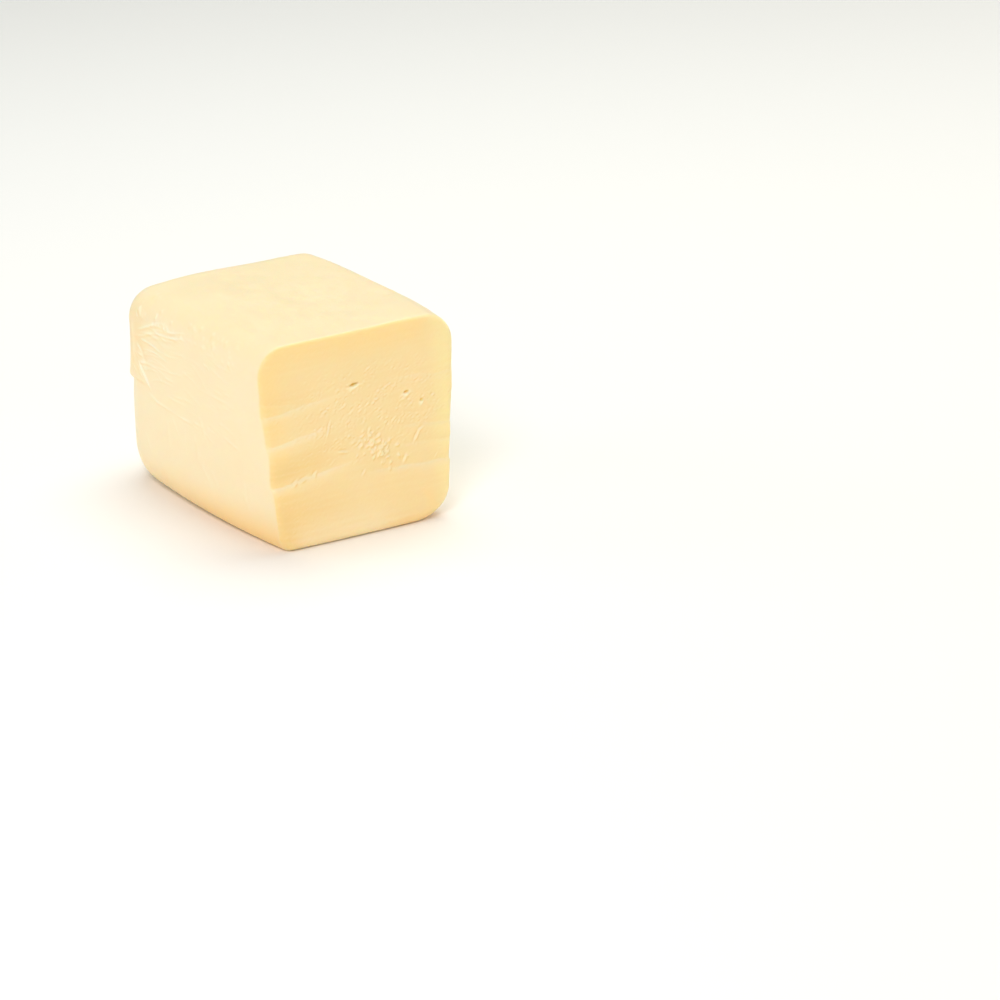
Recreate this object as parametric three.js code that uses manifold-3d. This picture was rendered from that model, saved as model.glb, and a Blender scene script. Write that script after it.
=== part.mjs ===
// Half a loaf of low-moisture mozzarella: a moulded block with soft edges, cut across with a knife.
// Millimetres, +Z up. The block rests on z = 0. Its cut face looks along -Y, its moulded end along +Y.
import * as THREE from 'three';
import { mergeVertices } from 'three/addons/utils/BufferGeometryUtils.js';
import Module from 'manifold-3d';

const { clamp, lerp, smoothstep } = THREE.MathUtils;

// The block's overall sizes.
const LENGTH = 140.4; // cut face to moulded end, at half height
const WIDTH = 101; // wall to wall, at half height
const HEIGHT = 97.5; // resting face to the long top edges
const CUT_LEAN = 9.6; // how far the top of the cut face stands behind its foot

// How much further out each wall stands at the top than at the foot, at the cut and at the moulded end.
const WALL_FLARE = {
  Left: { cut: 6.8, end: 1.8 },
  Right: { cut: 6.5, end: 8 },
};

// The rounding of the four long edges: its height at the cut and at the moulded end, and its width over height.
const EDGE_ROUND = {
  topLeft: { cut: 14.3, end: 13.5, wide: 1 },
  topRight: { cut: 13.9, end: 7.8, wide: 1 },
  bottomLeft: { cut: 10, end: 20, wide: 0.62 },
  bottomRight: { cut: 14, end: 20, wide: 1.5 },
};
const EDGE_EASE = 30; // length over which the upper edges' rounding at the cut dies out

// The rounding round the cut face, and round the moulded end at its top and its foot.
const RIM_ROUND = 2.3;
const END_ROUND_TOP = 18.3;
const END_ROUND_FOOT_LEFT = 27.8;
const END_ROUND_FOOT_RIGHT = 24;

// How far the faces swell in the middle, and how far the far left shoulder sinks.
const SIDE_CROWN = 0.9;
const TOP_CROWN = 1.6;
const END_CROWN = 4;
const SHOULDER_SAG = 2.3;

// How far the left wall's foot, the whole right wall and the cut's foot bow out in plan.
const FOOT_BOW_LEFT = 5.1;
const WALL_BOW_RIGHT = 1.9;
const FOOT_BOW_CUT = 1;

// Knife ledges on the cut face. Each runs from a wall inwards, from and to given as [x, z],
// and the face steps out below its line by about a millimetre.
const LEDGES = [
  { from: [-51, 71.6], to: [-18, 67.4], stand: 0.4 },
  { from: [-52, 65.4], to: [-4, 71], stand: 1.1 },
  { from: [-50, 51.8], to: [-6, 57.8], stand: 1.2 },
  { from: [-49, 31.2], to: [0, 38], stand: 1.7 },
  { from: [50, 28], to: [-6, 31], stand: 1.4 },
  { from: [53, 70], to: [8, 74], stand: 0.6 },
  { from: [53, 45.6], to: [8, 50.8], stand: 0.8 },
];
const LEDGE_RAMP = 2; // height over which the step out eases off
const LEDGE_FALL = 9; // height over which the face above and below it eases back
const LEDGE_FADE_FROM = 0.5; // share of a ledge's run after which it starts to die out

// Broad waves that the knife left near the left rim: height at the rim, half height, and how far they stand out.
const KNIFE_WAVES = [
  { level: 46, half: 8, out: 1.5 },
  { level: 33.5, half: 4, out: -0.5 },
  { level: 67, half: 6, out: -0.4 },
];
const KNIFE_RISE = 0.14; // slope of the waves, up to the right
const KNIFE_FADE = { from: -46, to: 4 }; // x over which they die out
const KNIFE_REACH = { from: 1.5, to: 10 }; // distance behind the cut over which ledges and waves die out

// The fold that the wrapping pressed into the rounded far left edge: a lip over a groove.
const FOLD_HEIGHT = 53;
const FOLD_LIP = 1.3;
const FOLD_GROOVE = 1.2;
const FOLD_SPREAD = 9; // height over which lip and groove die out
const FOLD_RAMP = 3;
const FOLD_FROM_Y = 34; // where the fold starts on the left wall
const FOLD_FULL_Y = 54;

// Gas holes opened by the cut: their place on the face and their sizes.
const GAS_HOLES = [
  { x: -3.1, z: 73.3, wide: 6.4, high: 2.8, deep: 2.6 },
  { x: 25.7, z: 64.6, wide: 4.2, high: 1.8, deep: 1.6 },
  { x: 34.3, z: 59.6, wide: 2.8, high: 2.2, deep: 1.6 },
];
const HOLE_SIDES = 12;
const HOLE_RINGS = 8;

// Divisions of the surface: across, upwards, and along the rim, the body and the end's rounding.
const ACROSS_STEPS = 34;
const UP_STEPS = 34;
const RIM_STEPS = 2;
const BODY_STEPS = 9;
const END_STEPS = 6;
const LENGTH_STEPS = RIM_STEPS + BODY_STEPS + END_STEPS;

const QUARTER_TURN = Math.PI / 2;
const CENTRE_RING = 1e-9;

// The cut face's plane at a height above the block's middle.
function cutPlane(aboveMiddle) {
  return -LENGTH / 2 + (CUT_LEAN * aboveMiddle) / HEIGHT;
}

// One for the middle of a span from -half to half, falling to zero at its ends.
function crown(place, half) {
  return 1 - (place / half) ** 2;
}

// A point of the section at a share of the body's length. Square coordinates from -1 to 1 are drawn
// ring by ring onto the rounded outline.
function sectionPoint(across, up, body) {
  const ring = Math.max(Math.abs(across), Math.abs(up), CENTRE_RING);
  const edge = EDGE_ROUND[(up > 0 ? 'top' : 'bottom') + (across < 0 ? 'Left' : 'Right')];
  const pastCut = up > 0 ? 1 - Math.exp((-body * LENGTH) / EDGE_EASE) : body;
  const height = lerp(edge.cut, edge.end, pastCut);
  const round = new THREE.Vector2(height * edge.wide, height);
  const onSquare = new THREE.Vector2((across * WIDTH) / 2, (up * HEIGHT) / 2).divideScalar(ring);
  const coreLimit = new THREE.Vector2(WIDTH / 2, HEIGHT / 2).sub(round);
  const core = onSquare.clone().clamp(coreLimit.clone().negate(), coreLimit);
  const outward = onSquare.sub(core).divide(round).normalize().multiply(round);
  return core.add(outward).multiplyScalar(ring);
}

// A point of the smooth block, from a point of a box that is 2 wide, LENGTH_STEPS long and 2 high.
function blockPoint(across, step, up) {
  const rimTurn = clamp(step / RIM_STEPS, 0, 1) * QUARTER_TURN;
  const endTurn = clamp((LENGTH_STEPS - step) / END_STEPS, 0, 1) * QUARTER_TURN;
  const body = clamp((step - RIM_STEPS) / BODY_STEPS, 0, 1);
  const foot = (1 - up) / 2;
  const endRoundFoot = lerp(END_ROUND_FOOT_LEFT, END_ROUND_FOOT_RIGHT, (across + 1) / 2);
  const endRound = lerp(END_ROUND_TOP, endRoundFoot, foot);

  const section = sectionPoint(across, up, body);
  const inset = RIM_ROUND * (1 - Math.sin(rimTurn)) + endRound * (1 - Math.sin(endTurn));
  let x = section.x * (1 - (2 * inset) / WIDTH);
  let z = section.y * (1 - (2 * inset) / HEIGHT);

  const acrossCrown = crown(x, WIDTH / 2);
  const upCrown = crown(z, HEIGHT / 2);
  const bodyStart = cutPlane(z) + RIM_ROUND;
  const bodyEnd = LENGTH / 2 - endRound;
  let y = lerp(bodyStart, bodyEnd, body);
  if (step < RIM_STEPS) y -= RIM_ROUND * Math.cos(rimTurn);
  if (step > RIM_STEPS + BODY_STEPS) y += (endRound + END_CROWN * acrossCrown * upCrown) * Math.cos(endTurn);

  y -= FOOT_BOW_CUT * acrossCrown * (foot * (1 - body)) ** 2;

  const along = clamp(y / LENGTH + 0.5, 0, 1);
  const alongCrown = crown(along - 0.5, 0.5);
  const swell = (1 + alongCrown) / 2;
  const bow = alongCrown * (x < 0 ? FOOT_BOW_LEFT * foot : WALL_BOW_RIGHT);
  const flare = WALL_FLARE[x < 0 ? 'Left' : 'Right'];
  const flareHere = lerp(flare.cut, flare.end, along);
  const reach = (2 * x) / WIDTH;
  x += reach * (SIDE_CROWN * upCrown * swell + bow + (flareHere * z) / HEIGHT);
  if (z > 0) {
    const sag = (SHOULDER_SAG * along * (1 - (2 * x) / WIDTH)) / 2;
    z += ((2 * z) / HEIGHT) * (TOP_CROWN * acrossCrown * swell - sag);
  }
  return new THREE.Vector3(x, y, z + HEIGHT / 2);
}

// How far one knife ledge moves the cut face out, or in above its line.
function ledgeRelief(ledge, x, z) {
  const run = (x - ledge.from[0]) / (ledge.to[0] - ledge.from[0]);
  const below = lerp(ledge.from[1], ledge.to[1], run) - z;
  const step = 0.5 - Math.exp(-Math.max(below, 0) / LEDGE_RAMP);
  const fall = Math.exp(-Math.abs(below) / LEDGE_FALL);
  return ledge.stand * step * fall * (1 - smoothstep(run, LEDGE_FADE_FROM, 1));
}

// How far one broad wave of the knife moves the cut face out or in.
function waveRelief(wave, x, z) {
  const above = z - KNIFE_RISE * (x + WIDTH / 2) - wave.level;
  return wave.out * Math.exp(-((above / wave.half) ** 2)) * (1 - smoothstep(x, KNIFE_FADE.from, KNIFE_FADE.to));
}

// How far the fold on the far left edge stands out, or in, at a point of the wall.
function foldRelief(point) {
  const above = point.z - FOLD_HEIGHT;
  const fade = Math.exp(-Math.abs(above) / FOLD_SPREAD);
  const side = lerp(-FOLD_GROOVE, FOLD_LIP, smoothstep(above, -FOLD_RAMP / 2, FOLD_RAMP / 2));
  return side * fade * smoothstep(point.y, FOLD_FROM_Y, FOLD_FULL_Y);
}

// How far a point of the smooth block, with a given outward normal, is moved by the relief.
function reliefMove(point, normal) {
  const { x, y, z } = point;
  const facesLeft = clamp(-normal.x, 0, 1);
  const move = normal.clone().multiplyScalar(facesLeft * foldRelief(point));
  const ledges = LEDGES.map((ledge) => ledgeRelief(ledge, x, z));
  const waves = KNIFE_WAVES.map((wave) => waveRelief(wave, x, z));
  const cutMove = [...ledges, ...waves].reduce((sum, out) => sum + out, 0);
  const behindCut = y - cutPlane(z - HEIGHT / 2);
  move.y -= cutMove * (1 - smoothstep(behindCut, KNIFE_REACH.from, KNIFE_REACH.to));
  return move;
}

// Position alone, with shared corners joined.
function weld(geometry) {
  geometry.deleteAttribute('normal');
  geometry.deleteAttribute('uv');
  return mergeVertices(geometry);
}

// The whole block without its gas holes.
function blockGeometry() {
  const box = new THREE.BoxGeometry(2, LENGTH_STEPS, 2, ACROSS_STEPS, LENGTH_STEPS, UP_STEPS);
  const block = weld(box);
  const places = block.attributes.position;
  for (let i = 0; i < places.count; i += 1) {
    const point = blockPoint(places.getX(i), places.getY(i) + LENGTH_STEPS / 2, places.getZ(i));
    places.setXYZ(i, point.x, point.y, point.z);
  }
  block.computeVertexNormals();
  const normals = block.attributes.normal;
  for (let i = 0; i < places.count; i += 1) {
    const point = new THREE.Vector3().fromBufferAttribute(places, i);
    const normal = new THREE.Vector3().fromBufferAttribute(normals, i);
    point.add(reliefMove(point, normal));
    places.setXYZ(i, point.x, point.y, point.z);
  }
  block.deleteAttribute('normal');
  return block;
}

// A gas hole, as the ellipsoid that is taken out of the cut face.
function gasHoleGeometry(hole) {
  const ball = weld(new THREE.SphereGeometry(0.5, HOLE_SIDES, HOLE_RINGS));
  ball.scale(hole.wide, 2 * hole.deep, hole.high);
  ball.translate(hole.x, cutPlane(hole.z - HEIGHT / 2), hole.z);
  return ball;
}

const solids = await Module();
solids.setup();

function solidOf(geometry) {
  const vertProperties = new Float32Array(geometry.attributes.position.array);
  const triVerts = new Uint32Array(geometry.index.array);
  return new solids.Manifold(new solids.Mesh({ numProp: 3, vertProperties, triVerts }));
}

function geometryOf(solid) {
  const mesh = solid.getMesh();
  const geometry = new THREE.BufferGeometry();
  geometry.setAttribute('position', new THREE.BufferAttribute(mesh.vertProperties, 3));
  geometry.setIndex(new THREE.BufferAttribute(mesh.triVerts, 1));
  return geometry;
}

// The block stands with the middle of its box over the origin.
function centreOnFloor(geometry) {
  geometry.computeBoundingBox();
  const middle = geometry.boundingBox.getCenter(new THREE.Vector3());
  return geometry.translate(-middle.x, -middle.y, -geometry.boundingBox.min.z);
}

const holes = GAS_HOLES.map((hole) => solidOf(gasHoleGeometry(hole)));
const cutBlock = holes.reduce((block, hole) => block.subtract(hole), solidOf(blockGeometry()));
const geometry = centreOnFloor(geometryOf(cutBlock));
geometry.computeVertexNormals();

const curd = new THREE.MeshStandardMaterial({ color: 0xfbe6ae, roughness: 0.5, metalness: 0 });
const block = new THREE.Mesh(geometry, curd);
block.name = 'block';

const mozzarella = new THREE.Group();
mozzarella.add(block);

export default mozzarella;
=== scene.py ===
# The looks of half a loaf of low-moisture mozzarella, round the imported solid.
import math

import bmesh
import bpy
import numpy as np
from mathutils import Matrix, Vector


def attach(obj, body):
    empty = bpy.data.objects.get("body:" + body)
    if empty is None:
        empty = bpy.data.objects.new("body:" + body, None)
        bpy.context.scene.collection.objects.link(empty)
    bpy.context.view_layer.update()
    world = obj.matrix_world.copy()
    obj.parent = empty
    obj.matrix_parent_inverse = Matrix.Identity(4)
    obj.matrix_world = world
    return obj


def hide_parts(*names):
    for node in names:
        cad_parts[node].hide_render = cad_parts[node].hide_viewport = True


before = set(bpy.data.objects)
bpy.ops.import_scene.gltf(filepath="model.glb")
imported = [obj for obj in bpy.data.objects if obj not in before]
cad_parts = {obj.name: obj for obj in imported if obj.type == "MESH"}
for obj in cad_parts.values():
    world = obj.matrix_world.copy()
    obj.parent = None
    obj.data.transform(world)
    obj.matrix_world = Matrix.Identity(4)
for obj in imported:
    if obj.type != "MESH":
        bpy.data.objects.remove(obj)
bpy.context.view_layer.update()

MM = 0.001

# The block's overall sizes, in millimetres. It stands on z = 0, with its cut face towards -Y.
LENGTH = 140.4
WIDTH = 101.0
HEIGHT = 97.5
CUT_LEAN = 9.6

# How much further out each wall stands at the top than at the foot, at the cut and at the moulded end.
FLARE_LEFT = (6.8, 1.8)
FLARE_RIGHT = (6.5, 8.0)

# The rounding of the four long edges, at the cut and at the moulded end, and the lower ones' width over
# height.
ROUND_TOP_LEFT = (14.3, 13.5)
ROUND_TOP_RIGHT = (13.9, 7.8)
ROUND_BOTTOM_LEFT = (10.0, 20.0)
ROUND_BOTTOM_RIGHT = (14.0, 20.0)
BOTTOM_LEFT_WIDE = 0.62
BOTTOM_RIGHT_WIDE = 1.5
EDGE_EASE = 30.0         # length over which the upper rounding at the cut dies out

# The rounding round the cut face and round the moulded end, at the top and at the foot.
RIM_ROUND_TOP = 2.3
RIM_ROUND_FOOT = 4.6
RIM_FOOT_POWER = 4       # keeps the larger rounding near the floor
END_ROUND_TOP = 18.3
END_ROUND_FOOT_LEFT = 27.8
END_ROUND_FOOT_RIGHT = 24.0

# How far the faces swell in the middle, how far the walls and the cut's foot bow out in plan,
# and how far the far left shoulder sinks.
SIDE_CROWN = 0.9
TOP_CROWN = 1.6
END_CROWN = 4.0
FOOT_BOW_LEFT = 5.1
WALL_BOW_RIGHT = 1.9
FOOT_BOW_CUT = 1.0
SHOULDER_SAG = 2.3

# Divisions of the skin: across, upwards, and along the rim, the body and the end's rounding.
ACROSS_STEPS = 96
UP_STEPS = 96
RIM_STEPS = 6
BODY_STEPS = 62
END_STEPS = 20
LENGTH_STEPS = RIM_STEPS + BODY_STEPS + END_STEPS
FINE_WALL_FROM = 44      # length step after which the wrinkled left wall is split finer
HALF_STEP = 0.5

# Knife ledges on the cut face: start (x, z), end (x, z) and how far the face steps out below the line.
LEDGES = (
    ((-51.0, 71.6), (-18.0, 67.4), 0.4),
    ((-52.0, 65.4), (-4.0, 71.0), 1.1),
    ((-50.0, 51.8), (-6.0, 57.8), 1.2),
    ((-49.0, 31.2), (0.0, 38.0), 1.7),
    ((50.0, 28.0), (-6.0, 31.0), 1.4),
    ((53.0, 70.0), (8.0, 74.0), 0.6),
    ((53.0, 45.6), (8.0, 50.8), 0.8),
    ((-6.5, 42.9), (-27.0, 44.8), 0.4),
)
LEDGE_RAMP = 2.0         # height over which the step out eases off
LEDGE_FALL = 9.0         # height over which the face above and below it eases back
LEDGE_FADE_FROM = 0.5    # share of a ledge's length after which it dies out
LEDGE_WAVER = (16.0, 0.22)       # wavelength and height
LEDGE_REACH = (1.5, 10.0)        # distance behind the cut over which a ledge's step in the rim dies out

# Broad waves that the knife left near the left rim: height at the rim, half height and how far they
# stand out.
KNIFE_WAVES = ((46.0, 8.0, 1.5), (33.5, 4.0, -0.5), (67.0, 6.0, -0.4))
KNIFE_RISE = 0.14                # slope of the waves, up to the right
KNIFE_FADE = (-46.0, 4.0)        # x over which they die out

# Slits of gas holes opened by the cut: x, z, width, height and depth.
GAS_HOLES = (
    (-2.3, 73.2, 5.0, 1.15, 1.7),
    (25.6, 64.6, 3.6, 1.2, 1.1),
    (34.0, 59.4, 2.0, 1.4, 0.95),
)
HOLE_SEED = 2
HOLE_UNEVEN = (2.6, 0.14)        # wavelength and share of the unevenness of a slit's edge
PIT_EDGE = (0.4, 1.1)    # shares of a slit's half sizes between which its wall runs
HOLE_SLANT = 0.1         # rise to the right
HOLE_TAPER = 0.35        # how far a slit narrows to the right, and widens to the left
HOLE_LIP = 0.55          # how far the face bulges below a slit
PIT_SHADE_FULL = 1.1        # depth of a hole whose pit has the full painted shade
LIP_BELOW = 2.1          # place of the bulge below the slit's middle, in half heights
LIP_HALF = 1.5           # its own half height, in half heights of the slit
LIP_LONG = 1.1           # its own half length, in half lengths of the slit

# Curd that the knife tore up: a patch of crumbs, longest down to the right.
CRUMB_SEED = 11
CRUMB_COUNT = 62
CRUMB_PATCH = (7.2, 40.4)
CRUMB_SPREAD = (6.8, 3.2)        # along and across the patch
CRUMB_PATCH_TURN = -34.0         # degrees from the horizontal
CRUMB_TURN = (55.0, 28.0)        # degrees: mean and spread
CRUMB_LENGTH = (0.6, 1.3)
CRUMB_WIDTH = (0.45, 0.75)
CRUMB_HEIGHT = (0.2, 0.85)
# Single tears: x, z, degrees from the horizontal, half length, half width and height.
TEARS = (
    (-1.3, 43.9, 62.0, 1.7, 0.9, 0.8),
    (3.9, 43.6, 52.0, 1.6, 0.9, 0.8),
    (4.8, 40.8, -15.0, 1.6, 0.8, 0.7),
    (8.6, 46.5, 30.0, 1.2, 0.8, 0.7),
    (3.8, 49.7, 84.0, 1.8, 0.7, 0.5),
    (11.0, 41.4, 40.0, 1.2, 0.7, 0.5),
    (29.9, 42.3, 60.0, 2.1, 0.8, 1.0),
    (32.5, 45.6, 25.0, 1.2, 0.8, 0.5),
    (22.9, 32.8, 66.0, 1.6, 0.9, 0.7),
    (-10.8, 42.6, -10.0, 2.0, 0.7, 1.0),
    (-37.5, 32.6, 40.0, 1.5, 0.8, 0.6),
    (-33.0, 33.5, 20.0, 2.0, 0.8, 0.6),
    (-26.5, 34.8, 50.0, 1.3, 0.8, 0.7),
    (-0.3, 30.7, 55.0, 1.3, 0.7, 0.5),
    (17.9, 52.7, 40.0, 1.4, 0.7, 0.6),
    (21.0, 51.4, 55.0, 1.0, 0.7, 0.5),
    (-18.3, 55.2, 68.0, 3.2, 0.6, 0.8),
)
# Fainter tears strewn over the face.
STRAY_SEED = 4
STRAY_COUNT = 40
STRAY_LOW = (-36.0, 30.0)
STRAY_HIGH = (46.0, 82.0)
STRAY_TURN = (20.0, 45.0)        # degrees: mean and spread
STRAY_LENGTH = (0.6, 1.3)
STRAY_WIDTH = (0.5, 0.8)
STRAY_HEIGHT = (0.06, 0.24)

# The fold that the wrapping pressed into the rounded far left edge: a lip over a groove.
FOLD_HEIGHT = 53.0
FOLD_LIP = 1.3
FOLD_GROOVE = 1.2
FOLD_SPREAD = 9.0
FOLD_RAMP = 2.4
FOLD_FROM_Y = 34.0
FOLD_FULL_Y = 54.0
FOLD_SHADE_REACH = (30.0, 52.0)       # y over which the painted shade round the fold sets in
FOLD_SHADE_HEIGHT = 70.0
FOLD_SHADE_HALF = 19.0

# Creases of the wrapping on the left wall: start (y, z), end (y, z), half width and height.
MAIN_CREASES = (
    ((46.0, 77.0), (-4.0, 86.0), 0.55, 0.45),
    ((45.0, 80.5), (22.0, 85.2), 0.55, 0.4),
    ((42.0, 76.2), (23.0, 73.2), 0.6, 0.5),
    ((45.0, 63.5), (32.5, 50.5), 0.65, 0.9),
    ((45.5, 75.0), (36.0, 60.0), 1.6, -0.45),
    ((51.5, 82.0), (50.0, 60.0), 1.8, 0.5),
    ((49.0, 89.0), (43.0, 85.5), 0.8, 0.4),
)
# Chance creases, as rows of: number, range of y and z of the start, degrees from the horizontal towards
# the cut (mean and spread), length, half width and height. They drape from the fold, bunch up at it,
# cross the middle of the wall, run faintly down its lower part, and dimple the rounded top left edge.
CREASE_SEED = 5
CREASE_BEND = (34.0, 0.7)        # wavelength and reach of the bends in all creases
CREASE_ARCH = 0.08               # slope at which a crease's own line starts to arch
CREASE_START = (-0.1, 0.25)      # shares of the length over which a crease sets in
CREASE_END = (0.6, 1.1)          # and over which it dies out
CHANCE_CREASES = (
    (18, (28.0, 48.0), (60.0, 84.0), (4.0, 9.0), (14.0, 32.0), (0.4, 0.7), (0.08, 0.28)),
    (9, (43.0, 53.0), (55.0, 74.0), (-42.0, 14.0), (4.0, 9.0), (0.4, 0.7), (0.05, 0.14)),
    (52, (-34.0, 40.0), (46.0, 84.0), (-3.0, 9.0), (8.0, 24.0), (0.45, 0.8), (0.04, 0.2)),
    (26, (-58.0, 40.0), (14.0, 58.0), (-72.0, 16.0), (6.0, 18.0), (0.8, 1.3), (0.05, 0.2)),
    (56, (-44.0, 50.0), (85.0, 95.0), (-62.0, 26.0), (1.5, 4.0), (0.55, 0.9), (0.08, 0.32)),
)

# Faint lines of the wrapping on the right wall and the moulded end: how far apart and how thin they are,
# how far they stand out, and the size of the patches that have them and how these set in.
WRAP_SEED = 21
WRAP_APART = 26.0
WRAP_THIN = 0.28
WRAP_HEIGHT = 0.28
WRAP_PATCH = 32.0
WRAP_FADE = (-0.6, 1.0)

# Unevenness of the whole skin: wavelength and height. The heights above the floor over which it sets in,
# and over which all relief does.
SWELLS = ((70.0, 0.3), (28.0, 0.06), (9.0, 0.02))
SWELL_SEED = 3
SWELL_RISE = (0.0, 12.0)
RELIEF_RISE = (-0.5, 2.0)
WAVE_COUNT = 24                  # plane waves in a chance unevenness, and the range of their lengths
WAVE_SPREAD = (0.7, 1.4)

# Painted shade and light by place: warm shade at the foot of the walls, shade round the fold, shade on
# the cut's lower left, bounce light at its foot and shade at its lower right. A fade is the heights over
# which a tone dies out, and a reach, start or end the x over which it changes.
FOOT_SHADE_FADE = (0.0, 24.0)
FOOT_SHADE_SHARE_FAR = 0.35            # share of the foot's painted shade at the moulded end
FOLD_SHADE_SHARE = 0.9
LOW_SHADE_FADE = (13.0, 36.0)
LOW_SHADE_REACH = (-50.0, 4.0)
GLOW_FADE = (5.0, 20.0)
GLOW_START = (-46.0, -32.0)
GLOW_END = (0.0, 26.0)
GLOW_SHARE = 0.5
CORNER_SHADE_FADE = (1.0, 8.0)
CORNER_SHADE_REACH = (0.0, 24.0)
CORNER_SHADE_SHARE = 0.5

# Fine torn grain on the cut: wavelength and height, how fast its waves run along x and z, the steady and
# the varying share of its height, and the wavelengths of that change and of its patches, as multiples.
CURD_GRAIN = (1.8, 0.062)
CURD_SEED = 17
GRAIN_WAVES = 64
GRAIN_PACE = (0.7, 1.0)
GRAIN_VARY = (0.7, 0.5)
GRAIN_VARY_LONG = 2
GRAIN_PATCH_LONG = 6
GRAIN_PATCH_FADE = (-1.6, 1.6)
GRAIN_SHARE = (0.1, 1.6)         # everywhere, and on top of that within the rough patch
DRAG = (3.5, 0.15)               # lines of the knife's drag: wavelength, and share of the grain's height
DRAG_PACE = (0.12, 1.0)
# The rough patch of the cut: its middle and half sizes.
ROUGH_PATCH = (6.0, 60.0)
ROUGH_SPREAD = (38.0, 20.0)

# The photograph's camera: how it looks at the block, and the floor point in the middle of its picture.
VIEW_AZIMUTH = -34.4
VIEW_ELEVATION = 20.17
VIEW_DISTANCE = 2160.0
VIEW_AIM = (77.4, -69.5, 0.0)
FOCAL_PIXELS = 4508.0
PICTURE_PIXELS = 1000.0
SENSOR_WIDTH = 36.0
CLIP_END = 20.0          # in metres

# How strongly slopes are painted as light and shade: the step that measures them, and the gain for the
# knife's marks, towards painted light and towards painted shade, for torn curd, and for creases.
SLOPE_STEP = 0.3
STEP_GAIN_PALE = 1.7
STEP_GAIN_DEEP = 3.6
TORN_GAIN = 3.2
CREASE_GAIN = 2.0
LIGHT_UP = 0.85          # weights of an upward and a sideways slope in the painted light
LIGHT_ASIDE = 0.38
CUT_TONE = (0.0, 0.25)   # share of facing the cut over which the skin's tone gives way to the cut's
RIND_SHADE_FADE = (0.7, 0.98)  # shares of the way to the rim over which its warmer tone sets in: partly the rind's own tone, partly painted shade
RIND_SHADE_END = (30.0, 46.0)  # x over which the warm rim of the cut, partly painted shade, dies out
RIGHT_RIM_LIGHT_REACH = (35.0, 49.0)        # x over which the painted warm highlight on the cut's right rim sets in
CENTRE_RING = 1e-9
QUARTER_TURN = math.pi / 2


def lerp(low, high, share):
    return low + (high - low) * share


def smoothstep(value, low, high):
    share = np.clip((value - low) / (high - low), 0, 1)
    return share * share * (3 - 2 * share)


def crown(place, half):
    return 1 - (place / half) ** 2


def cut_plane(above_middle):
    return -LENGTH / 2 + CUT_LEAN * above_middle / HEIGHT


def ripple(points, wavelength, seed, waves=WAVE_COUNT):
    """Smooth chance unevenness of about unit height: plane waves of random direction and phase."""
    draw = np.random.default_rng(seed)
    ways = draw.normal(size=(waves, points.shape[1]))
    ways /= np.linalg.norm(ways, axis=1, keepdims=True)
    pace = 2 * math.pi / (wavelength * draw.uniform(*WAVE_SPREAD, waves))
    phase = draw.uniform(0, 2 * math.pi, waves)
    return np.sin(points @ (ways * pace[:, None]).T + phase).sum(axis=1) * math.sqrt(2 / waves)


# The block's form

def box_skin(counts):
    """Corners, in whole steps, and quads of the skin of a box with that many steps along x, y and z."""
    quads = []
    for axis in range(3):
        first, second = (axis + 1) % 3, (axis + 2) % 3
        cells = np.indices((counts[first], counts[second])).reshape(2, -1)
        for end in (0, counts[axis]):
            turn = ((0, 0), (1, 0), (1, 1), (0, 1)) if end else ((0, 0), (0, 1), (1, 1), (1, 0))
            quad = np.empty((cells.shape[1], 4, 3), int)
            for corner, (one, two) in enumerate(turn):
                quad[:, corner, axis] = end
                quad[:, corner, first] = cells[0] + one
                quad[:, corner, second] = cells[1] + two
            quads.append(quad)
    corners, index = np.unique(np.concatenate(quads).reshape(-1, 3), axis=0, return_inverse=True)
    return corners, index.reshape(-1, 4)


def split_finer(mesh):
    """Splits the cut face, and the far half of the left wall, into cells of half the size."""
    shape = bmesh.new()
    shape.from_mesh(mesh)

    def is_fine(face):
        on_cut = all(v.co.y < HALF_STEP for v in face.verts)
        on_left = all(v.co.x < HALF_STEP and v.co.y > FINE_WALL_FROM - HALF_STEP for v in face.verts)
        return on_cut or on_left

    edges = {edge for face in shape.faces if is_fine(face) for edge in face.edges}
    bmesh.ops.subdivide_edges(shape, edges=list(edges), cuts=1, use_grid_fill=True)
    shape.to_mesh(mesh)
    shape.free()


def section_points(across, up, body):
    """Square coordinates from -1 to 1, drawn ring by ring onto the rounded section at a share of the body."""
    ring = np.maximum(np.maximum(np.abs(across), np.abs(up)), CENTRE_RING)
    past_cut = 1 - np.exp(-body * LENGTH / EDGE_EASE)
    left = np.where(up > 0, lerp(*ROUND_TOP_LEFT, past_cut), lerp(*ROUND_BOTTOM_LEFT, body))
    right = np.where(up > 0, lerp(*ROUND_TOP_RIGHT, past_cut), lerp(*ROUND_BOTTOM_RIGHT, body))
    edge_z = np.where(across < 0, left, right)
    edge_x = edge_z * np.where(up > 0, 1, np.where(across < 0, BOTTOM_LEFT_WIDE, BOTTOM_RIGHT_WIDE))
    x = across / ring * WIDTH / 2
    z = up / ring * HEIGHT / 2
    core_x = np.clip(x, edge_x - WIDTH / 2, WIDTH / 2 - edge_x)
    core_z = np.clip(z, edge_z - HEIGHT / 2, HEIGHT / 2 - edge_z)
    reach = np.maximum(np.hypot((x - core_x) / edge_x, (z - core_z) / edge_z), CENTRE_RING)
    return ring * (core_x + (x - core_x) / reach), ring * (core_z + (z - core_z) / reach)


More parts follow.
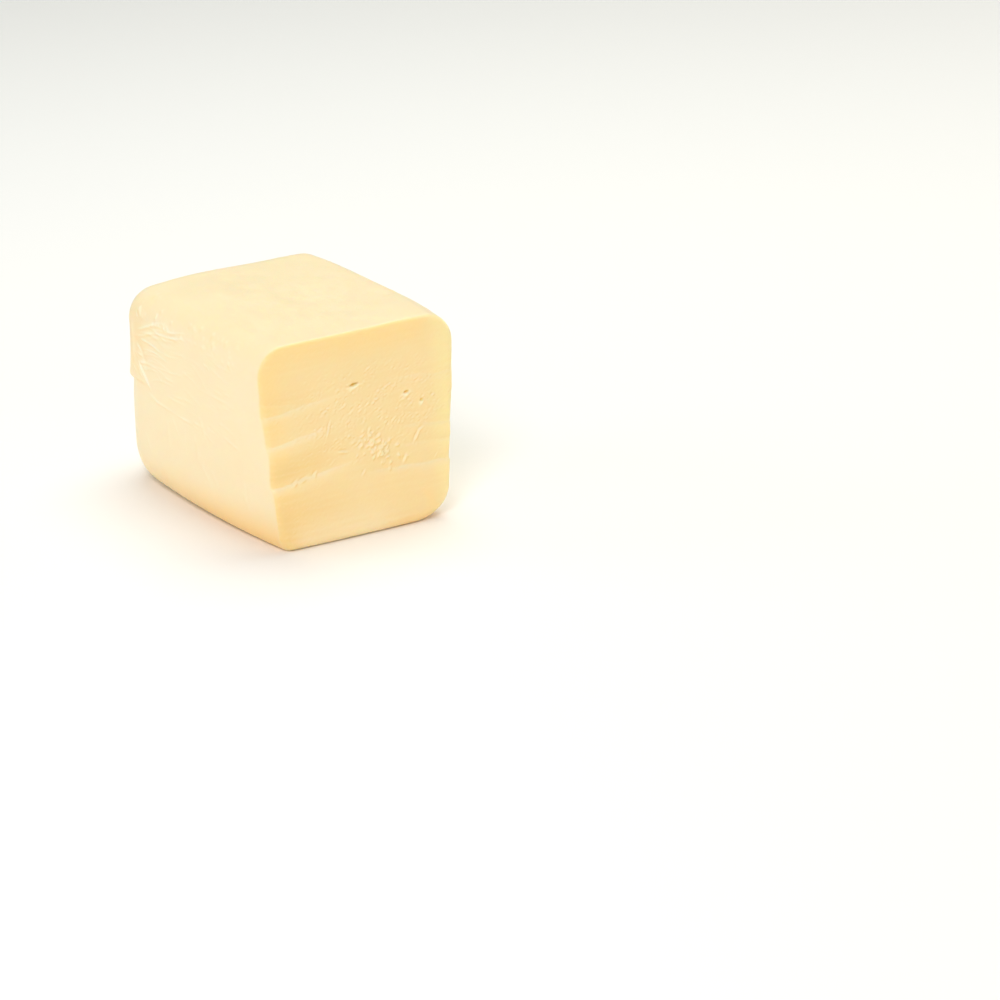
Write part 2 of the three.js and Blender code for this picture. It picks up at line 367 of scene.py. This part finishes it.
def block_points(across, step, up):
    """The smooth block in millimetres. Across and up run from -1 to 1, and steps along the length."""
    foot = (1 - up) / 2
    rim_turn = np.clip(step / RIM_STEPS, 0, 1) * QUARTER_TURN
    rim_round = lerp(RIM_ROUND_TOP, RIM_ROUND_FOOT, foot ** RIM_FOOT_POWER)
    end_turn = np.clip((LENGTH_STEPS - step) / END_STEPS, 0, 1) * QUARTER_TURN
    body = np.clip((step - RIM_STEPS) / BODY_STEPS, 0, 1)
    end_round = lerp(END_ROUND_TOP, lerp(END_ROUND_FOOT_LEFT, END_ROUND_FOOT_RIGHT, (across + 1) / 2), foot)

    x, z = section_points(across, up, body)
    inset = rim_round * (1 - np.sin(rim_turn)) + end_round * (1 - np.sin(end_turn))
    x = x * (1 - 2 * inset / WIDTH)
    z = z * (1 - 2 * inset / HEIGHT)

    across_crown = crown(x, WIDTH / 2)
    up_crown = crown(z, HEIGHT / 2)
    y = lerp(cut_plane(z) + rim_round, LENGTH / 2 - end_round, body)
    y -= np.where(step < RIM_STEPS, rim_round * np.cos(rim_turn), 0)
    end_reach = (end_round + END_CROWN * across_crown * up_crown) * np.cos(end_turn)
    y += np.where(step > RIM_STEPS + BODY_STEPS, end_reach, 0)
    y -= FOOT_BOW_CUT * across_crown * (foot * (1 - body)) ** 2

    along = np.clip(y / LENGTH + 0.5, 0, 1)
    swell = (1 + crown(along - 0.5, 0.5)) / 2
    flare = np.where(x < 0, lerp(*FLARE_LEFT, along), lerp(*FLARE_RIGHT, along))
    bow = crown(along - 0.5, 0.5) * np.where(x < 0, FOOT_BOW_LEFT * foot, WALL_BOW_RIGHT)
    x = x + 2 * x / WIDTH * (SIDE_CROWN * up_crown * swell + bow + flare * z / HEIGHT)
    sag = SHOULDER_SAG * along * (1 - 2 * x / WIDTH) / 2
    z = z + np.where(z > 0, 2 * z / HEIGHT * (TOP_CROWN * across_crown * swell - sag), 0)
    return np.stack([x, y, z + HEIGHT / 2], axis=1)


# Relief on the cut face, in terms of its own x and z

def ledges(x, z):
    total = np.zeros_like(x)
    for number, (start, end, stand) in enumerate(LEDGES):
        run = (x - start[0]) / (end[0] - start[0])
        waver = LEDGE_WAVER[1] * ripple(x[:, None], LEDGE_WAVER[0], number)
        below = lerp(start[1], end[1], run) + waver - z
        ease = np.exp(-np.maximum(below, 0) / LEDGE_RAMP)
        fall = np.exp(-np.abs(below) / LEDGE_FALL)
        fade = 1 - smoothstep(run, LEDGE_FADE_FROM, 1)
        total += stand * (0.5 - ease) * fall * fade
    return total


def knife_waves(x, z):
    level = z - KNIFE_RISE * (x + WIDTH / 2)
    waves = sum(out * np.exp(-((level - middle) / half) ** 2) for middle, half, out in KNIFE_WAVES)
    return waves * (1 - smoothstep(x, *KNIFE_FADE))


def hole_shapes(x, z):
    """Each hole's depth and share of the painted shade in its pit, and its pit and lip from 0 to 1 at each
    point.
    """
    uneven = 1 + HOLE_UNEVEN[1] * ripple(np.stack([x, z], axis=1), HOLE_UNEVEN[0], HOLE_SEED)
    for place_x, place_z, wide, high, deep in GAS_HOLES:
        right = 2 * (x - place_x) / wide
        taper = 1 - HOLE_TAPER * np.clip(right, -1, 1)
        above = 2 * (z - place_z - HOLE_SLANT * (x - place_x)) / (high * taper)
        pit = 1 - smoothstep(np.hypot(right, above) * uneven, *PIT_EDGE)
        lip = np.exp(-(right / LIP_LONG) ** 2 - ((above + LIP_BELOW) / LIP_HALF) ** 2)
        yield deep, min(1, deep / PIT_SHADE_FULL), pit, lip


def gas_holes(x, z):
    return sum(HOLE_LIP * share * lip - deep * pit for deep, share, pit, lip in hole_shapes(x, z))


def turned(right, above, degrees):
    turn = math.radians(degrees)
    return right * math.cos(turn) + above * math.sin(turn), above * math.cos(turn) - right * math.sin(turn)


def crumbs(x, z):
    draw = np.random.default_rng(CRUMB_SEED)
    total = np.zeros_like(x)
    for _ in range(CRUMB_COUNT):
        place = turned(*(draw.normal(size=2) * CRUMB_SPREAD), -CRUMB_PATCH_TURN)
        right = x - CRUMB_PATCH[0] - place[0]
        above = z - CRUMB_PATCH[1] - place[1]
        along, off = turned(right, above, draw.normal(*CRUMB_TURN))
        length, width, height = [draw.uniform(*sizes) for sizes in (CRUMB_LENGTH, CRUMB_WIDTH, CRUMB_HEIGHT)]
        total += height * np.exp(-(along / length) ** 2 - (off / width) ** 2)
    return total


def tear(x, z, place_x, place_z, degrees, length, width, height):
    """A short slope that faces the upper left, between a dip above it and a rise below it."""
    along, off = turned(x - place_x, z - place_z, degrees)
    return -height * off / width * np.exp(-(off / width) ** 2 - (along / length) ** 2)


def tears(x, z):
    draw = np.random.default_rng(STRAY_SEED)
    total = sum(tear(x, z, *row) for row in TEARS)
    for _ in range(STRAY_COUNT):
        place_x, place_z = draw.uniform(STRAY_LOW, STRAY_HIGH)
        sizes = [draw.uniform(*spread) for spread in (STRAY_LENGTH, STRAY_WIDTH, STRAY_HEIGHT)]
        total += tear(x, z, place_x, place_z, draw.normal(*STRAY_TURN), *sizes)
    return total


def curd_grain(x, z):
    """Fine torn grain, thickest in the middle of the face, over faint lines of the knife's drag."""
    place = np.stack([x, z], axis=1)
    out = ((x - ROUGH_PATCH[0]) / ROUGH_SPREAD[0]) ** 2 + ((z - ROUGH_PATCH[1]) / ROUGH_SPREAD[1]) ** 2
    dots = ripple(place * GRAIN_PACE, CURD_GRAIN[0], CURD_SEED, GRAIN_WAVES)
    change = ripple(place, GRAIN_VARY_LONG * CURD_GRAIN[0], CURD_SEED + 1)
    grain = dots * (GRAIN_VARY[0] + GRAIN_VARY[1] * change)
    patches = smoothstep(ripple(place, GRAIN_PATCH_LONG * CURD_GRAIN[0], CURD_SEED + 2), *GRAIN_PATCH_FADE)
    drag = ripple(place * DRAG_PACE, DRAG[0], CURD_SEED + 3)
    share = GRAIN_SHARE[0] + GRAIN_SHARE[1] * patches * np.exp(-out ** 2)
    return CURD_GRAIN[1] * (share * grain + DRAG[1] * drag)


def knife_marks(x, z):
    return ledges(x, z) + knife_waves(x, z)


def torn_curd(x, z):
    return gas_holes(x, z) + crumbs(x, z) + tears(x, z) + curd_grain(x, z)


def facing_light(height, aside, z):
    """How far a relief tilts its face up, and aside against the growth of the first coordinate, towards the
    light that is painted into the colour.
    """
    tilt_up = (height(aside, z - SLOPE_STEP) - height(aside, z + SLOPE_STEP)) / (2 * SLOPE_STEP)
    tilt_aside = (height(aside + SLOPE_STEP, z) - height(aside - SLOPE_STEP, z)) / (2 * SLOPE_STEP)
    return LIGHT_UP * tilt_up + LIGHT_ASIDE * tilt_aside


# Relief on the left wall, in terms of its y and z

def fold(y, z):
    above = z - FOLD_HEIGHT
    fade = np.exp(-np.abs(above) / FOLD_SPREAD)
    side = lerp(-FOLD_GROOVE, FOLD_LIP, smoothstep(above, -FOLD_RAMP / 2, FOLD_RAMP / 2))
    return side * fade * smoothstep(y, FOLD_FROM_Y, FOLD_FULL_Y)


def crease(y, z, start, end, half_width, height):
    run_y, run_z = end[0] - start[0], end[1] - start[1]
    length = math.hypot(run_y, run_z)
    along = ((y - start[0]) * run_y + (z - start[1]) * run_z) / length
    off = ((z - start[1]) * run_y - (y - start[0]) * run_z) / length
    share = along / length
    off = off + CREASE_ARCH * along * (1 - share)
    ends = smoothstep(share, *CREASE_START) * (1 - smoothstep(share, *CREASE_END))
    return height * ends * np.exp(-(off / half_width) ** 2)


def creases(y, z):
    draw = np.random.default_rng(CREASE_SEED)
    place = np.stack([y, z], axis=1)
    y = y + CREASE_BEND[1] * ripple(place, CREASE_BEND[0], CREASE_SEED)
    z = z + CREASE_BEND[1] * ripple(place, CREASE_BEND[0], CREASE_SEED + 1)
    total = sum(crease(y, z, *row) for row in MAIN_CREASES)
    for count, span_y, span_z, turn, lengths, widths, heights in CHANCE_CREASES:
        for _ in range(count):
            start = (draw.uniform(*span_y), draw.uniform(*span_z))
            angle = math.radians(draw.normal(*turn))
            length = draw.uniform(*lengths)
            end = (start[0] - length * math.cos(angle), start[1] + length * math.sin(angle))
            total += crease(y, z, start, end, draw.uniform(*widths), draw.uniform(*heights))
    return total


def wall_relief(y, z):
    return fold(y, z) + creases(y, z)


def wrap_lines(points):
    """Long, thin, bent ridges, where a smooth chance field passes zero."""
    ridge = np.exp(-(ripple(points, WRAP_APART, WRAP_SEED) / WRAP_THIN) ** 2)
    return WRAP_HEIGHT * ridge * smoothstep(ripple(points, WRAP_PATCH, WRAP_SEED + 1), *WRAP_FADE)


def relief(points, normals, rim_share):
    """How far each point moves off the smooth block, and the marks that the material reads."""
    x, y, z = points.T
    faces_cut = np.clip(-normals[:, 1], 0, 1) ** 2
    faces_left = np.clip(-normals[:, 0], 0, 1)
    faces_away = np.clip(normals[:, :2], 0, 1).max(axis=1)
    heights = faces_cut * torn_curd(x, z) + faces_left * wall_relief(y, z) + faces_away * wrap_lines(points)
    for number, (wavelength, height) in enumerate(SWELLS):
        heights += smoothstep(z, *SWELL_RISE) * height * ripple(points, wavelength, SWELL_SEED + number)
    moves = normals * heights[:, None]
    behind_cut = y - cut_plane(z - HEIGHT / 2)
    moves[:, 1] -= knife_marks(x, z) * (1 - smoothstep(behind_cut, *LEDGE_REACH))

    cut = smoothstep(faces_cut, *CUT_TONE)
    # Slopes of the relief towards the upper left, painted into the colour as light and shade.
    step_light = facing_light(knife_marks, x, z)
    torn_light = TORN_GAIN * facing_light(torn_curd, x, z)
    crease_light = CREASE_GAIN * facing_light(wall_relief, y, z)
    lower, upper = points - (0, 0, SLOPE_STEP), points + (0, 0, SLOPE_STEP)
    wrap_light = CREASE_GAIN * LIGHT_UP * (wrap_lines(lower) - wrap_lines(upper)) / (2 * SLOPE_STEP)
    wrinkle_light = faces_left * crease_light + faces_away * wrap_light
    # Painted shade on the cut's lower left.
    low = (1 - smoothstep(z, *LOW_SHADE_FADE)) * (1 - smoothstep(x, *LOW_SHADE_REACH))
    # Painted warm shade at the foot of the walls, weaker towards the moulded end.
    foot = (1 - smoothstep(z, *FOOT_SHADE_FADE)) * lerp(1, FOOT_SHADE_SHARE_FAR, smoothstep(y, -LENGTH / 4, LENGTH / 2))
    # Painted shade round the fold on the far left edge.
    fold_shade = FOLD_SHADE_SHARE * smoothstep(y, *FOLD_SHADE_REACH) * np.exp(-((z - FOLD_SHADE_HEIGHT) / FOLD_SHADE_HALF) ** 4)
    # Painted bounce light, paler low on the cut face.
    glow = GLOW_SHARE * (1 - smoothstep(z, *GLOW_FADE)) * smoothstep(x, *GLOW_START)
    glow = glow * (1 - smoothstep(x, *GLOW_END))
    # Painted shade at the foot of the cut's right half.
    corner = CORNER_SHADE_SHARE * (1 - smoothstep(z, *CORNER_SHADE_FADE)) * smoothstep(x, *CORNER_SHADE_REACH)
    # Painted shade in the slits of the gas holes.
    pit_shade = sum(share * pit for _, share, pit, _ in hole_shapes(x, z))
    # Painted glints on the bulges below the slits.
    lip_glints = sum(share * lip for _, share, _, lip in hole_shapes(x, z))
    marks = {
        # The cut face, which takes the cut's colours with their painted warm shade.
        "cut": cut,
        # A warmer band inside the cut's upper and left rim: partly the rind's own tone, partly painted shade
        # under the rim.
        "rind_and_shade": cut * smoothstep(rim_share, *RIND_SHADE_FADE) * (1 - smoothstep(x, *RIND_SHADE_END)),
        # A painted warm highlight along the cut's right rim, where its rounding catches light from the right.
        "edge": cut * smoothstep(x, *RIGHT_RIM_LIGHT_REACH),
        # Painted warm shade at the foot of the walls and of the cut's right half.
        "foot": (1 - cut) * foot + cut * corner,
        # Painted shade round the fold and on wall creases and wrapping lines that slope away from the light.
        "crease": (1 - cut) * np.clip(faces_left * fold_shade - wrinkle_light, 0, 1),
        # Painted shade on the cut: knife marks and torn curd that slope away from the light, and its lower
        # left.
        "deep": cut * np.clip(np.maximum(-STEP_GAIN_DEEP * step_light, 0) - torn_light + low, 0, 1),
        # Painted light on the cut: knife marks and torn curd that slope towards the light, and bounce light
        # at its foot.
        "painted_light": cut * np.clip(np.maximum(STEP_GAIN_PALE * step_light, 0) + torn_light + glow, 0, 1),
        # Painted glints on wall creases and wrapping lines that face the light, and on the lips below the
        # slits.
        "glint": (1 - cut) * np.clip(wrinkle_light, 0, 1) + cut * lip_glints,
        "pit_shade": cut * pit_shade,
    }
    return moves * smoothstep(z, *RELIEF_RISE)[:, None], marks


def stand_on_floor(points):
    low, high = points.min(axis=0), points.max(axis=0)
    return points - ((low[0] + high[0]) / 2, (low[1] + high[1]) / 2, low[2])


def coordinates(mesh, group="vertices", field="co"):
    items = getattr(mesh, group)
    values = np.empty(len(items) * 3)
    items.foreach_get(field, values)
    return values.reshape(-1, 3)


def make_block():
    counts = (ACROSS_STEPS, LENGTH_STEPS, UP_STEPS)
    corners, quads = box_skin(counts)
    mesh = bpy.data.meshes.new("cheese_block")
    mesh.from_pydata(corners.tolist(), [], quads.tolist())
    split_finer(mesh)

    lattice = coordinates(mesh)
    across = 2 * lattice[:, 0] / ACROSS_STEPS - 1
    up = 2 * lattice[:, 2] / UP_STEPS - 1
    smooth = block_points(across, lattice[:, 1], up)
    mesh.vertices.foreach_set("co", smooth.ravel())
    mesh.update()
    normals = coordinates(mesh, "vertex_normals", "vector")
    moves, marks = relief(smooth, normals, np.maximum(up, np.abs(across)))
    points = stand_on_floor(smooth + moves)
    mesh.vertices.foreach_set("co", (points * MM).ravel())
    for name, values in marks.items():
        mesh.attributes.new(name, "FLOAT", "POINT").data.foreach_set("value", values)
    mesh.update()
    mesh.shade_smooth()

    block = bpy.data.objects.new("cheese_block", mesh)
    bpy.context.collection.objects.link(block)
    return block


# Materials: base colours of the skin and the cut, each from pale to deep, and of the cut's rims. The cut's
# colours are deeper and warmer than the skin's: painted warm shade on the cut face.
SKIN_PALE = (0.955, 0.795, 0.515)
SKIN_DEEP = (0.951, 0.785, 0.498)
SHADED_CUT_PALE = (0.945, 0.766, 0.423)
SHADED_CUT_DEEP = (0.935, 0.751, 0.398)
# The warm band inside the cut's upper and left rim: partly the rind's own tone, partly painted shade.
RIND_AND_SHADE = (0.99, 0.745, 0.35)
# A painted warm highlight on the cut's right rim.
RIGHT_RIM_LIGHT = (1.0, 0.835, 0.435)
# Tones that lie over them, in this order, each by the mark of its name: painted warm shade at the foot,
# painted shade in creases and round the fold, painted shade and painted light on the cut, painted glints, and
# painted shade in the pits.
TONES = {
    "foot": (0.99, 0.65, 0.265),
    "crease": (0.93, 0.715, 0.385),
    "deep": (0.9, 0.68, 0.3),
    "painted_light": (0.985, 0.84, 0.56),
    "glint": (1.0, 0.91, 0.68),
    "pit_shade": (0.93, 0.67, 0.16),
}
# Noises of the curd, as scale, detail and roughness: its mottled colour, its dampness and its finest grain.
MOTTLE_NOISE = (38.0, 4.0, 0.5)
DAMP_NOISE = (120.0, 3.0, 0.5)
FINE_NOISE = (900.0, 3.0, 0.6)
NOISE_MIDDLE = (0.3, 0.7)        # range of a noise that is stretched to its full span
CURD_ROUGHNESS = (0.36, 0.52)
CURD_SPECULAR = 0.5
SUBSURFACE_SHARE = 0.5           # light that spreads inside: share, reach of each colour and scale in metres
SUBSURFACE_RADIUS = (1.0, 0.6, 0.3)
SUBSURFACE_SCALE = 0.0015
BUMP_STRENGTH = 0.12
BUMP_HEIGHT = 0.0005
FLOOR_COLOUR = (0.96, 0.96, 0.96)
FLOOR_ROUGHNESS = 0.7


def new_material(name):
    material = bpy.data.materials.new(name)
    material.use_nodes = True
    tree = material.node_tree
    return material, tree, tree.nodes["Principled BSDF"]


def noise(tree, place, scale, detail, roughness):
    node = tree.nodes.new("ShaderNodeTexNoise")
    node.inputs["Scale"].default_value = scale
    node.inputs["Detail"].default_value = detail
    node.inputs["Roughness"].default_value = roughness
    tree.links.new(place, node.inputs["Vector"])
    return node.outputs["Fac"]


def span(tree, value, low, high):
    """The middle of a noise, stretched to run from low to high."""
    node = tree.nodes.new("ShaderNodeMapRange")
    node.inputs["From Min"].default_value = NOISE_MIDDLE[0]
    node.inputs["From Max"].default_value = NOISE_MIDDLE[1]
    node.inputs["To Min"].default_value = low
    node.inputs["To Max"].default_value = high
    tree.links.new(value, node.inputs["Value"])
    return node.outputs["Result"]


def attribute(tree, name):
    node = tree.nodes.new("ShaderNodeAttribute")
    node.attribute_name = name
    return node.outputs["Fac"]


def mix_colours(tree, share, one, two):
    """A mix of two colours, each a plain colour or another node's output."""
    node = tree.nodes.new("ShaderNodeMix")
    node.data_type = "RGBA"
    sockets = {socket.identifier: socket for socket in node.inputs}
    for side, colour in (("A_Color", one), ("B_Color", two)):
        if isinstance(colour, tuple):
            sockets[side].default_value = (*colour, 1)
        else:
            tree.links.new(colour, sockets[side])
    tree.links.new(share, sockets["Factor_Float"])
    return next(socket for socket in node.outputs if socket.identifier == "Result_Color")


def curd_material():
    material, tree, shader = new_material("curd")
    place = tree.nodes.new("ShaderNodeTexCoord").outputs["Object"]
    mottle = span(tree, noise(tree, place, *MOTTLE_NOISE), 0.0, 1.0)
    skin = mix_colours(tree, mottle, SKIN_PALE, SKIN_DEEP)
    # The cut face's mottle, in colours deeper and warmer than the skin's: painted warm shade.
    cut = mix_colours(tree, mottle, SHADED_CUT_PALE, SHADED_CUT_DEEP)
    # The warmer band inside the upper and left rim: partly the rind's own tone, partly painted shade.
    cut = mix_colours(tree, attribute(tree, "rind_and_shade"), cut, RIND_AND_SHADE)
    # The cut's right rim, paler: a painted warm highlight.
    cut = mix_colours(tree, attribute(tree, "edge"), cut, RIGHT_RIM_LIGHT)
    colour = mix_colours(tree, attribute(tree, "cut"), skin, cut)
    # Painted shade, light and glints laid over the base colours.
    for name, tone in TONES.items():
        colour = mix_colours(tree, attribute(tree, name), colour, tone)
    tree.links.new(colour, shader.inputs["Base Color"])
    damp = noise(tree, place, *DAMP_NOISE)
    tree.links.new(span(tree, damp, *CURD_ROUGHNESS), shader.inputs["Roughness"])
    shader.inputs["Subsurface Weight"].default_value = SUBSURFACE_SHARE
    shader.inputs["Subsurface Radius"].default_value = SUBSURFACE_RADIUS
    shader.inputs["Subsurface Scale"].default_value = SUBSURFACE_SCALE
    shader.inputs["Specular IOR Level"].default_value = CURD_SPECULAR

    grain = noise(tree, place, *FINE_NOISE)
    bump = tree.nodes.new("ShaderNodeBump")
    bump.inputs["Strength"].default_value = BUMP_STRENGTH
    bump.inputs["Distance"].default_value = BUMP_HEIGHT
    tree.links.new(grain, bump.inputs["Height"])
    tree.links.new(bump.outputs["Normal"], shader.inputs["Normal"])
    return material


def floor_material():
    material, _, shader = new_material("pale_floor")
    shader.inputs["Base Color"].default_value = (*FLOOR_COLOUR, 1)
    shader.inputs["Roughness"].default_value = FLOOR_ROUGHNESS
    return material


# The studio, in metres. The lights all point at the block's middle: name, place, width, power and colour.
FLOOR_HALF = 4.0
LIGHT_AIM = (0, 0, 0.05)
LIGHTS = (
    ("overhead", (0.4, 0.35, 1.4), 1.2, 12.6, (0.97, 1, 0.93)),
    ("key", (-0.9, -0.9, 1.2), 0.6, 11.2, (1, 0.893, 0.88)),
    ("back_left", (-1.2, 0.9, 0.4), 0.9, 5.0, (0.88, 0.93, 1)),
    ("right_side", (1.5, 0.3, 0.35), 0.9, 2.2, (1, 0.95, 0.88)),
    ("left_fill", (-1.5, -0.1, 0.6), 0.9, 1.7, (0.95, 1, 0.97)),
    ("front_fill", (0.3, -1.6, 0.45), 1.2, 4.7, (1, 0.77, 0.57)),
    ("right_fill", (1.3, -0.55, 0.6), 0.7, 1.6, (1, 0.85, 0.62)),
)
WORLD_COLOUR = (0.99, 1, 0.96)
WORLD_STRENGTH = 0.3


def make_floor():
    half = FLOOR_HALF
    mesh = bpy.data.meshes.new("floor")
    corners = [(-half, -half, 0), (half, -half, 0), (half, half, 0), (-half, half, 0)]
    mesh.from_pydata(corners, [], [(0, 1, 2, 3)])
    mesh.materials.append(floor_material())
    floor = bpy.data.objects.new("floor", mesh)
    bpy.context.collection.objects.link(floor)


def area_light(name, place, size, power, colour):
    lamp = bpy.data.lights.new(name, "AREA")
    lamp.shape = "DISK"
    lamp.size = size
    lamp.energy = power
    lamp.color = colour
    light = bpy.data.objects.new(name, lamp)
    light.location = place
    light.rotation_euler = (Vector(LIGHT_AIM) - Vector(place)).to_track_quat("-Z", "Y").to_euler()
    bpy.context.collection.objects.link(light)


def make_lights():
    for row in LIGHTS:
        area_light(*row)
    world = bpy.data.worlds.new("studio")
    world.use_nodes = True
    background = world.node_tree.nodes["Background"]
    background.inputs["Color"].default_value = (*WORLD_COLOUR, 1)
    background.inputs["Strength"].default_value = WORLD_STRENGTH
    bpy.context.scene.world = world


def make_camera():
    data = bpy.data.cameras.new("camera")
    data.sensor_width = SENSOR_WIDTH
    data.lens = SENSOR_WIDTH * FOCAL_PIXELS / PICTURE_PIXELS
    data.clip_end = CLIP_END
    camera = bpy.data.objects.new("camera", data)
    azimuth, elevation = math.radians(VIEW_AZIMUTH), math.radians(VIEW_ELEVATION)
    level = math.cos(elevation)
    back = Vector((math.sin(azimuth) * level, -math.cos(azimuth) * level, math.sin(elevation)))
    camera.location = (Vector(VIEW_AIM) + back * VIEW_DISTANCE) * MM
    camera.rotation_euler = (-back).to_track_quat("-Z", "Y").to_euler()
    bpy.context.collection.objects.link(camera)
    bpy.context.scene.camera = camera


make_camera()
make_floor()
make_lights()
bpy.context.scene.view_settings.view_transform = "Standard"

block = make_block()
block.data.materials.append(curd_material())
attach(block, "root")
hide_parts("block")
